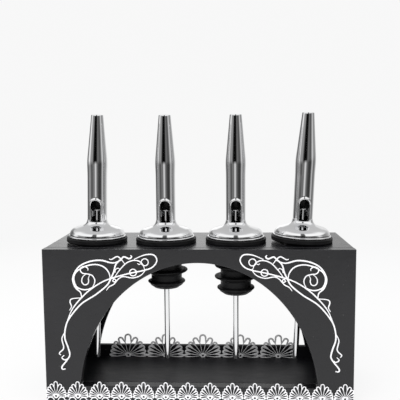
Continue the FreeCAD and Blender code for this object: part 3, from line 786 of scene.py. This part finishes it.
# ---------------------------------------------------------------- lace and scrollwork
# Petals of half a fan, from its middle: (degrees from upright, length, radius of the tip).
FRONT_PETALS = [(0, 8.3, 1.2), (22, 7.3, 1.1), (41, 6.6, 0.95), (58, 6.2, 0.85), (74, 6.0, 0.8),
                (90, 5.9, 0.75)]
BACK_PETALS = [(0, 13.5, 2.3), (25, 12.5, 1.9), (46, 12.0, 1.7), (62, 11.7, 1.5), (76, 11.4, 1.35),
               (90, 11.2, 1.2)]
FRONT_FANS = 14
BACK_FANS = 5
FRONT_FAN_PITCH, FRONT_ROW_SHIFT, FRONT_HUB_HEIGHT = 11.92, 0.4, 4.8
FRONT_HUB_RADIUS, FRONT_HUB_HOLE, FRONT_BAND = 1.3, 0.55, 0.55
FRONT_RING_HEIGHT, FRONT_RING_RADIUS, FRONT_RING_LINE = 2.25, 1.9, 0.6
FRONT_LINK_START, FRONT_LINK_END = 1.0, 0.1         # in from the edge of the fan's share of the row
FRONT_LINK_RADII = (0.34, 0.4)
BACK_FAN_PITCH, BACK_HUB_HEIGHT = 22.9, 1.0
BACK_HUB_RADIUS, BACK_HUB_HOLE, BACK_BAND = 1.6, 0.6, 1.15
BACK_LINK_START, BACK_LINK_HEIGHT = 1.2, 0.1
BACK_LINK_RADII = (0.6, 0.75)
SPOKE = 0.32            # width of a petal's line at the hub
PETAL_STEPS = 12        # along the round tip of a petal
TIP_TURN = math.radians(96)     # the tip's line turns this far to each side
ROUND_STEPS = 28
TRIM_THICKNESS = 1.0


def add_line(curve, points, radii, closed=False):
    """Round line through the points, each with its own radius."""
    spline = curve.splines.new("POLY")
    spline.points.add(len(points) - 1)
    for knot, point, radius in zip(spline.points, points, radii):
        knot.co = (point[0], 0, point[1], 1)
        knot.radius = radius
    spline.use_cyclic_u = closed


def ring_line(curve, x, z, radius, width):
    """Closed round line about (x, z)."""
    angles = [2 * math.pi * step / ROUND_STEPS for step in range(ROUND_STEPS)]
    points = [(x + radius * math.cos(angle), z + radius * math.sin(angle)) for angle in angles]
    add_line(curve, points, [width / 2] * ROUND_STEPS, closed=True)


def petal_line(curve, petal, edges, band, start):
    """Looped petal: out from the hub along one edge's direction, round the tip, and back."""
    angle, length, tip_radius = petal
    along = Vector((math.sin(angle), math.cos(angle)))
    across = Vector((along.y, -along.x))
    tip = along * (length - tip_radius)
    bend = tip_radius - band / 2
    round_tip = []
    for step in range(PETAL_STEPS + 1):
        turn = TIP_TURN * (1 - 2 * step / PETAL_STEPS)
        round_tip.append(tip + (along * math.cos(turn) + across * math.sin(turn)) * bend)
    after, before = [Vector((math.sin(edge), math.cos(edge))) for edge in edges]
    reach = tip.length * 0.72
    points = [after * start, after * reach] + round_tip + [before * reach, before * start]
    side = [SPOKE / 2, 0.375 * SPOKE + 0.125 * band]
    add_line(curve, points, side + [band / 2] * (PETAL_STEPS + 1) + side[::-1])


def cast(name, curve, voxel, relax):
    """Fuses the curve's lines into one skin, as thick along Y as the trim, with its back at 0."""
    curve.dimensions = "3D"
    curve.bevel_depth = 1.0
    curve.bevel_resolution = 3
    curve.use_fill_caps = True
    source = bpy.data.objects.new(name, curve)
    scene.collection.objects.link(source)
    lines = bpy.data.objects.new(name, bpy.data.meshes.new_from_object(source))
    scene.collection.objects.link(lines)
    fused = lines.modifiers.new("fused", "REMESH")
    fused.mode = "VOXEL"
    fused.voxel_size = voxel
    calm = lines.modifiers.new("calm", "SMOOTH")
    calm.iterations = relax
    calm.factor = 0.5
    solved = lines.evaluated_get(bpy.context.evaluated_depsgraph_get())
    mesh = bpy.data.meshes.new_from_object(solved)
    mesh.name = name
    bpy.data.objects.remove(source)
    bpy.data.objects.remove(lines)
    depths = [vertex.co.y for vertex in mesh.vertices]
    low, high = min(depths), max(depths)
    stretch = TRIM_THICKNESS / (high - low)
    mesh.transform(Matrix.Diagonal((MM, MM * stretch, MM, 1)) @ Matrix.Translation((0, -high, 0)))
    return smooth(mesh)


def fan_curve(petals, hub_radius, hub_hole, band):
    """Lines of one fan about its hub; neighbouring petals share the direction of their spokes."""
    curve = bpy.data.curves.new("fan", "CURVE")
    ring_line(curve, 0, 0, (hub_radius + hub_hole) / 2, hub_radius - hub_hole)
    angles = [math.radians(angle) for angle, _, _ in petals]
    middles = [(first + second) / 2 for first, second in zip(angles, angles[1:])]
    outer = middles + [angles[-1] + (angles[-1] - middles[-1])]
    inner = [-middles[0]] + middles
    start = hub_radius - 0.2
    for angle, (_, length, tip_radius), high, low in zip(angles, petals, outer, inner):
        petal_line(curve, (angle, length, tip_radius), (high, low), band, start)
        if angle:
            petal_line(curve, (-angle, length, tip_radius), (-low, -high), band, start)
    return curve


def cut_at(mesh, x):
    """Copy of the mesh that ends flush at x, on the side away from its middle."""
    bm = bmesh.new()
    bm.from_mesh(mesh)
    parts = bm.verts[:] + bm.edges[:] + bm.faces[:]
    cut = bmesh.ops.bisect_plane(bm, geom=parts, plane_co=(x * MM, 0, 0), plane_no=(x, 0, 0),
                                 clear_outer=True)
    edges = [item for item in cut["geom_cut"] if isinstance(item, bmesh.types.BMEdge)]
    bmesh.ops.holes_fill(bm, edges=edges)
    trimmed = mesh.copy()
    bm.to_mesh(trimmed)
    bm.free()
    return trimmed


def add_front_lace():
    """Small fans over pairs of rings, joined by links, across the foot of the front panel."""
    low, high = span("front_lace")
    curve = fan_curve(FRONT_PETALS, FRONT_HUB_RADIUS, FRONT_HUB_HOLE, FRONT_BAND)
    half = FRONT_FAN_PITCH / 2
    drop = FRONT_RING_HEIGHT - FRONT_HUB_HEIGHT
    for side in (-1, 1):
        ring_line(curve, side * half / 2, drop, FRONT_RING_RADIUS, FRONT_RING_LINE)
        for height in (0.0, drop):
            link = [(side * (half - inward), height) for inward in (FRONT_LINK_START, FRONT_LINK_END)]
            add_line(curve, link, FRONT_LINK_RADII)
    mesh = cast("front_fan", curve, voxel=0.1, relax=2)
    for number in range(FRONT_FANS):
        x = (number - (FRONT_FANS - 1) / 2) * FRONT_FAN_PITCH + FRONT_ROW_SHIFT
        fan = mesh
        if number == 0:
            fan = cut_at(mesh, low.x - x)
        elif number == FRONT_FANS - 1:
            fan = cut_at(mesh, high.x - x)
        place = Matrix.Translation(Vector((x, high.y, FRONT_HUB_HEIGHT)) * MM)
        add_piece(f"front_lace_fan_{number + 1:02d}", fan, "silver_trim", "stand", "front_lace", place)


def add_back_lace():
    """Larger fans that stand on the floor of the box, against the back panel."""
    low, high = span("back_lace")
    middle = (low.x + high.x) / 2
    curve = fan_curve(BACK_PETALS, BACK_HUB_RADIUS, BACK_HUB_HOLE, BACK_BAND)
    half = BACK_FAN_PITCH / 2
    for side in (-1, 1):
        link = [(side * (half - BACK_LINK_START), BACK_LINK_HEIGHT), (side * half, BACK_LINK_HEIGHT)]
        add_line(curve, link, BACK_LINK_RADII)
    mesh = cast("back_fan", curve, voxel=0.11, relax=2)
    # the back fans take the silver dimmed with painted shade
    mesh.materials.append(SHADED_SILVER)
    for number in range(BACK_FANS):
        x = middle + (number - (BACK_FANS - 1) / 2) * BACK_FAN_PITCH
        place = Matrix.Translation(Vector((x, high.y, low.z + BACK_HUB_HEIGHT)) * MM)
        add_piece(f"back_lace_fan_{number + 1}", mesh, "silver_trim", "stand", "back_lace", place)


# Each stroke of the left ornament: its width, and the points that its middle line passes,
# right and up from the face's lower left corner.
STROKES = {
    "lower_stem": (0.9, [(11.2, 20.0), (9.6, 19.8), (9.2, 21.2), (11.8, 24.6), (13.6, 27.8),
                         (12.8, 32.0), (11.2, 37.4), (12.0, 43.8), (14.4, 48.6), (20.6, 55.8),
                         (28.6, 61.0), (34.6, 66.0), (36.8, 69.8), (38.3, 73.0), (39.6, 77.2),
                         (42.6, 80.2), (44.0, 81.3), (46.6, 80.3), (48.0, 81.2), (47.4, 82.2)]),
    "leg_twig": (0.75, [(11.0, 40.0), (9.6, 36.6), (10.4, 31.6), (8.0, 28.8), (8.8, 27.6)]),
    "leg_hook": (0.75, [(12.8, 26.0), (10.8, 25.0), (9.3, 26.2), (10.6, 27.6)]),
    "upper_stem": (0.8, [(12.4, 45.6), (16.0, 53.4), (21.8, 60.2), (27.0, 64.6), (33.0, 68.2),
                         (39.8, 70.6), (47.4, 72.6), (55.0, 74.2), (59.2, 76.0), (61.3, 79.4),
                         (59.6, 82.3), (55.0, 82.3), (49.2, 80.0)]),
    "bump": (0.75, [(21.4, 59.2), (15.8, 58.6), (14.6, 57.0), (15.3, 54.4), (14.2, 52.2)]),
    "outer_ring": (0.9, [(20.9, 59.4), (20.3, 62.2), (17.6, 65.0), (16.5, 70.0), (19.6, 75.6),
                         (25.2, 78.6), (31.6, 79.4), (37.8, 78.0), (42.4, 79.4)]),
    "inner_ring": (0.8, [(36.4, 69.4), (35.9, 72.4), (34.0, 75.2), (31.0, 76.8), (27.2, 77.1),
                         (22.4, 75.8), (18.3, 73.0), (17.0, 69.4), (18.2, 65.4), (21.0, 63.8),
                         (24.2, 63.7), (28.0, 65.4)]),
    "ring_curl": (0.7, [(24.6, 73.9), (24.6, 75.1), (22.9, 76.1), (21.0, 75.4), (20.7, 73.7),
                        (21.9, 72.4), (24.2, 72.1), (26.8, 71.3), (28.1, 69.2), (28.0, 67.2),
                        (27.0, 65.2)]),
    "drop_curl": (0.65, [(23.4, 71.9), (21.9, 70.6), (21.2, 68.7), (21.6, 67.0), (22.9, 66.2),
                         (24.3, 66.7), (24.9, 68.2), (24.8, 69.8), (25.5, 71.4)]),
    "leaf_top": (0.7, [(37.4, 68.2), (41.2, 73.8), (45.6, 78.2), (50.2, 79.4), (53.4, 77.8),
                       (54.9, 74.4)]),
    "leaf_foot": (0.7, [(55.7, 74.9), (52.8, 71.5), (48.4, 70.0), (43.6, 70.7), (41.0, 69.6),
                        (38.3, 66.6), (35.8, 65.2), (34.2, 63.2)]),
    "nib": (0.65, [(53.4, 78.2), (52.0, 77.2), (51.0, 77.8)]),
    "flame": (0.75, [(36.0, 80.2), (37.4, 79.9), (40.4, 81.4), (42.6, 79.8), (44.2, 77.6)]),
    "bud": (0.6, [(39.0, 72.8), (39.5, 74.6), (40.9, 75.2), (41.8, 74.2)]),
}
# Closed rings on the ornament: (line width, across, up, radius of the line's middle).
RINGS = {
    "round_loop": (0.65, 54.9, 78.4, 1.85),
    "small_loop": (0.65, 48.6, 72.9, 1.8),
    "knot": (0.6, 38.6, 68.6, 0.75),
}
RIGHT_SHIFT = 1.2       # right ornament, outwards from the mirror image of the left
STROKE_STEPS = 9
STROKE_END = 0.62       # share of its width that a stroke keeps at its ends
STROKE_FADE = 1.5       # number of points over which it reaches its full width


def smooth_through(points):
    """Catmull-Rom line through the points."""
    knots = [Vector(point) for point in points]
    knots = [2 * knots[0] - knots[1]] + knots + [2 * knots[-1] - knots[-2]]
    line = []
    for before, start, end, after in zip(knots, knots[1:], knots[2:], knots[3:]):
        for step in range(STROKE_STEPS):
            t = step / STROKE_STEPS
            line.append(0.5 * (2 * start + (end - before) * t
                               + (2 * before - 5 * start + 4 * end - after) * t**2
                               + (3 * start - before - 3 * end + after) * t**3))
    return line + [knots[-2]]


def add_scrolls():
    """The left ornament, and its mirror image on the right."""
    curve = bpy.data.curves.new("scroll", "CURVE")
    for width, points in STROKES.values():
        line = smooth_through(points)
        count = len(line) - 1
        run = STROKE_FADE * STROKE_STEPS
        fades = [min(1.0, STROKE_END + (1 - STROKE_END) * min(step, count - step) / run)
                 for step in range(count + 1)]
        add_line(curve, line, [width / 2 * fade for fade in fades])
    for width, x, z, radius in RINGS.values():
        ring_line(curve, x, z, radius, width)
    left = cast("left_scroll", curve, voxel=0.11, relax=3)
    right = left.copy()
    right.name = "right_scroll"
    right.transform(Matrix.Diagonal((-1, 1, 1, 1)))
    right.flip_normals()
    back = span("left_scroll")[1].y
    low, high = span("front_panel")
    for node, mesh, x in (("left_scroll", left, low.x), ("right_scroll", right, high.x + RIGHT_SHIFT)):
        place = Matrix.Translation(Vector((x, back, 0)) * MM)
        add_piece(f"{node}_cast", mesh, "silver_trim", "stand", node, place)


# ---------------------------------------------------------------- carried-over CAD parts
def finish_stems():
    """The stems are hidden in the corks and spouts, and keep their CAD meshes."""
    for number in range(1, 5):
        mesh = frame["nodes"][f"stem_{number}"].data
        mesh.materials.clear()
        mesh.materials.append(FINISHES["chrome"])


# ---------------------------------------------------------------- studio
FLOOR_RADIUS = 0.62
FLOOR_GLOW = 0.82       # share of the floor's brightness that no shadow takes away
FLOOR_FADE = (0.2, FLOOR_RADIUS * 0.95)     # distances over which it takes on the room's white
FLOOR_DROP = 0.0002     # gap under the stand
ROOM_WHITE = (0.935, 0.935, 0.935, 1)
LIGHT_PLACE = Vector((-0.35, -0.95, 0.6))
LIGHT_AIM = Vector((0, 0, 0.05))
LIGHT_WIDTH, LIGHT_HEIGHT, LIGHT_POWER = 0.9, 0.7, 7.0
# Z of the line of sight over which one part of the mirrored room gives way to the next.
EYE_LEVEL = (-0.05, 0.05)
SKY_LEVEL = (0.3, 0.42)
CEILING_LEVEL = (0.72, 0.9)
GROUND_LEVEL = (-0.22, -0.4)
# Brightness of the studio by bearing in degrees from the camera's side, positive towards +X:
# below the level of the eye, above it, and high up.
LOW_BAND = [(-180, 0.5), (-155, 0.42), (-138, 0.24), (-125, 0.07), (-116, 0.07), (-104, 0.24), (-84, 0.36),
            (-66, 0.16), (-56, 0.08), (-48, 0.1), (-34, 0.22), (-24, 0.12), (-14, 0.6), (-5, 0.72),
            (4, 0.24), (22, 0.07), (46, 0.03), (58, 0.1), (72, 0.55), (80, 0.45), (90, 0.13), (112, 0.22),
            (135, 0.55), (160, 0.8), (180, 0.9)]
HIGH_BAND = [(-180, 1.15), (-164, 1.15), (-155, 0.4), (-138, 0.2), (-122, 0.15), (-108, 0.38), (-97, 0.95),
             (-84, 0.9), (-72, 0.32), (-58, 0.3), (-46, 0.3), (-38, 0.12), (-29, 0.01), (-20, 0.002),
             (-2, 0.002), (6, 0.03), (15, 0.17), (24, 0.15), (46, 0.07), (58, 0.26), (70, 0.7), (80, 0.55),
             (90, 0.28), (108, 0.28), (130, 0.45), (150, 0.7), (158, 0.85), (168, 0.78), (180, 1.15)]
SKY_BAND = [(-180, 0.55), (-130, 0.6), (-100, 1.0), (-14, 1.1), (-9, 0.12), (7, 0.1), (12, 1.1), (100, 1.0),
            (130, 0.6), (180, 0.55)]


def light_world():
    """White room to the eye, soft light for the surfaces, banded screens for what shines."""
    world = bpy.data.worlds.new("studio")
    world.use_nodes = True
    scene.world = world
    nodes = Nodes(world.node_tree)
    sight = nodes.add("ShaderNodeTexCoord").outputs["Generated"]
    x, y, z = nodes.add("ShaderNodeSeparateXYZ", Vector=sight).outputs
    bearing = nodes.math("ARCTAN2", x, nodes.math("MULTIPLY", y, -1.0))
    turn = nodes.math("MULTIPLY_ADD", bearing, 0.5 / math.pi, 0.5)
    bands = [nodes.ramp(turn, [(degrees / 360 + 0.5, light) for degrees, light in band])
             for band in (LOW_BAND, HIGH_BAND, SKY_BAND)]
    low, high, sky = bands
    horizon = nodes.mix(nodes.map(z, *EYE_LEVEL), low, high)
    walls = nodes.mix(nodes.map(z, *SKY_LEVEL), horizon, sky)
    room = nodes.mix(nodes.map(z, *CEILING_LEVEL), walls, grey(0.58, 0.585))
    shiny = nodes.mix(nodes.map(z, *GROUND_LEVEL), room, grey(0.95, 0.95))
    side = nodes.math("MULTIPLY", nodes.map(x, -1.0, 1.0, 1.1, 0.92), nodes.map(y, -1.0, 1.0, 1.1, 0.8))
    soft = nodes.mix(side, grey(0, 0), grey(0.95, 0.955))
    path = nodes.add("ShaderNodeLightPath").outputs
    seen = nodes.mix(path["Is Glossy Ray"], soft, shiny)
    seen = nodes.mix(path["Is Camera Ray"], seen, ROOM_WHITE)
    background = nodes.add("ShaderNodeBackground", Color=seen)
    output = nodes.add("ShaderNodeOutputWorld")
    nodes.feed(output.inputs["Surface"], background.outputs[0])


def add_floor():
    """Round pale floor that brightens to the white of the room towards its edge."""
    bm = bmesh.new()
    bmesh.ops.create_circle(bm, cap_ends=True, radius=FLOOR_RADIUS, segments=128)
    mesh = bpy.data.meshes.new("floor")
    bm.to_mesh(mesh)
    bm.free()
    material = bpy.data.materials.new("floor")
    material.use_nodes = True
    nodes = Nodes(material.node_tree)
    where = nodes.add("ShaderNodeTexCoord").outputs["Object"]
    distance = nodes.add("ShaderNodeVectorMath", {"operation": "LENGTH"})
    nodes.feed(distance.inputs[0], where)
    far = nodes.map(distance.outputs["Value"], *FLOOR_FADE)
    paper = nodes.add("ShaderNodeBsdfDiffuse", Color=grey(0.93, 0.93))
    fade = nodes.mix(far, grey(1.0, 1.0), ROOM_WHITE)
    glow = nodes.add("ShaderNodeEmission", Color=fade)
    blend = nodes.add("ShaderNodeMixShader")
    nodes.feed(blend.inputs[0], nodes.math("MAXIMUM", far, FLOOR_GLOW))
    nodes.feed(blend.inputs[1], paper.outputs[0])
    nodes.feed(blend.inputs[2], glow.outputs[0])
    output = nodes.add("ShaderNodeOutputMaterial")
    nodes.feed(output.inputs["Surface"], blend.outputs[0])
    mesh.materials.append(material)
    floor = bpy.data.objects.new("floor", mesh)
    floor.location.z = -FLOOR_DROP
    scene.collection.objects.link(floor)


def add_lights():
    """One broad, soft panel in front and to the left; it isn't mirrored in the chrome."""
    data = bpy.data.lights.new("front_panel_light", "AREA")
    data.shape = "RECTANGLE"
    data.size, data.size_y = LIGHT_WIDTH, LIGHT_HEIGHT
    data.energy = LIGHT_POWER
    light = bpy.data.objects.new("front_panel_light", data)
    turned = (LIGHT_AIM - LIGHT_PLACE).to_track_quat("-Z", "Y").to_matrix().to_4x4()
    light.matrix_world = Matrix.Translation(LIGHT_PLACE) @ turned
    light.visible_glossy = False
    light.visible_camera = False
    scene.collection.objects.link(light)


# ---------------------------------------------------------------- the whole scene
scene.view_settings.view_transform = "Standard"
add_camera()
light_world()
add_floor()
add_lights()
add_box()
add_pourers()
finish_stems()
add_front_lace()
add_back_lace()
add_scrolls()
